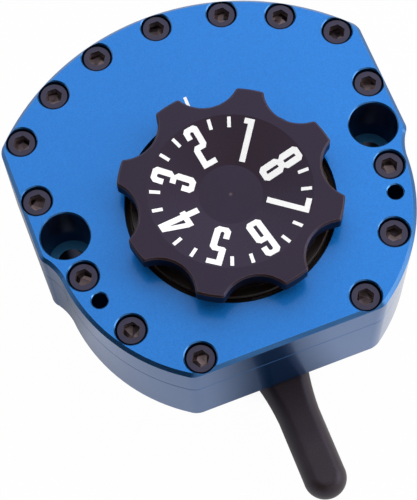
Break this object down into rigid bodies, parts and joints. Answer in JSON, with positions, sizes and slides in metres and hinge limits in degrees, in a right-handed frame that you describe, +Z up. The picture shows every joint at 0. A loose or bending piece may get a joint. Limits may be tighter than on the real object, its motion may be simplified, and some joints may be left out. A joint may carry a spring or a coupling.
{
  "type": "motorcycle steering damper",
  "caption": "Rotary steering damper with a two-piece oil-filled body, a scalloped click dial that sets a needle valve, and a link arm on its vane shaft.",
  "frame": {"origin": "midway between the two mounting holes, on the flat mounting face under the base", "axes": "+Z up along the mounting bolts to the dial, +Y to the rear, away from the link arm, +X to the right"},
  "size_m": [0.089, 0.1159, 0.051],
  "materials": {
    "blue_anodised": "satin blue anodised",
    "black_anodised": "satin black anodised",
    "black_steel": "black oxide",
    "steel": "ground steel",
    "bronze": "plain bearing bronze",
    "rubber": "matt seal rubber"
  },
  "bodies": {
    "housing": {"base_body": "blue_anodised", "top_cover": "blue_anodised", "cover_screws": "black_steel", "cover_seal": "rubber", "dowel_pins": "steel", "upper_bush": "bronze", "lower_bush": "bronze", "shaft_seal": "rubber", "seal_retainer": "black_steel", "fill_plug": "black_steel", "fill_plug_seal": "rubber", "needle_seal": "rubber", "needle_guide_pin": "steel", "dial_retaining_ring": "black_steel"},
    "rotor_arm": {"rotor": "steel", "vane_seal": "rubber", "valve_seat": "bronze", "link_arm": "black_steel", "arm_key": "steel", "arm_washer": "steel", "arm_bolt": "black_steel"},
    "dial": {"knob": "black_anodised", "dial_disc": "black_anodised", "knob_screws": "black_steel", "adjuster_nut": "bronze", "detent_balls": "steel", "detent_springs": "steel", "stop_pin": "steel"},
    "valve_needle": {"needle": "steel"}
  },
  "joints": [
    {"name": "arm_swing", "type": "hinge", "parent": "housing", "child": "rotor_arm", "pos_m": [0, -0.00614, 0], "axis": [0, 0, 1], "range_deg": [-45, 45]},
    {"name": "dial_turn", "type": "hinge", "parent": "housing", "child": "dial", "pos_m": [0, -0.00614, 0.0293], "axis": [0, 0, 1], "range_deg": [-279.8, 35.2]},
    {"name": "needle_lift", "type": "slide", "parent": "housing", "child": "valve_needle", "axis": [0, 0, 1], "range_m": [-0.00156, 0.0002]}
  ],
  "couplings": [
    {"joint": "needle_lift", "follows": "dial_turn", "m_per_rad": 0.00031831}
  ]
}
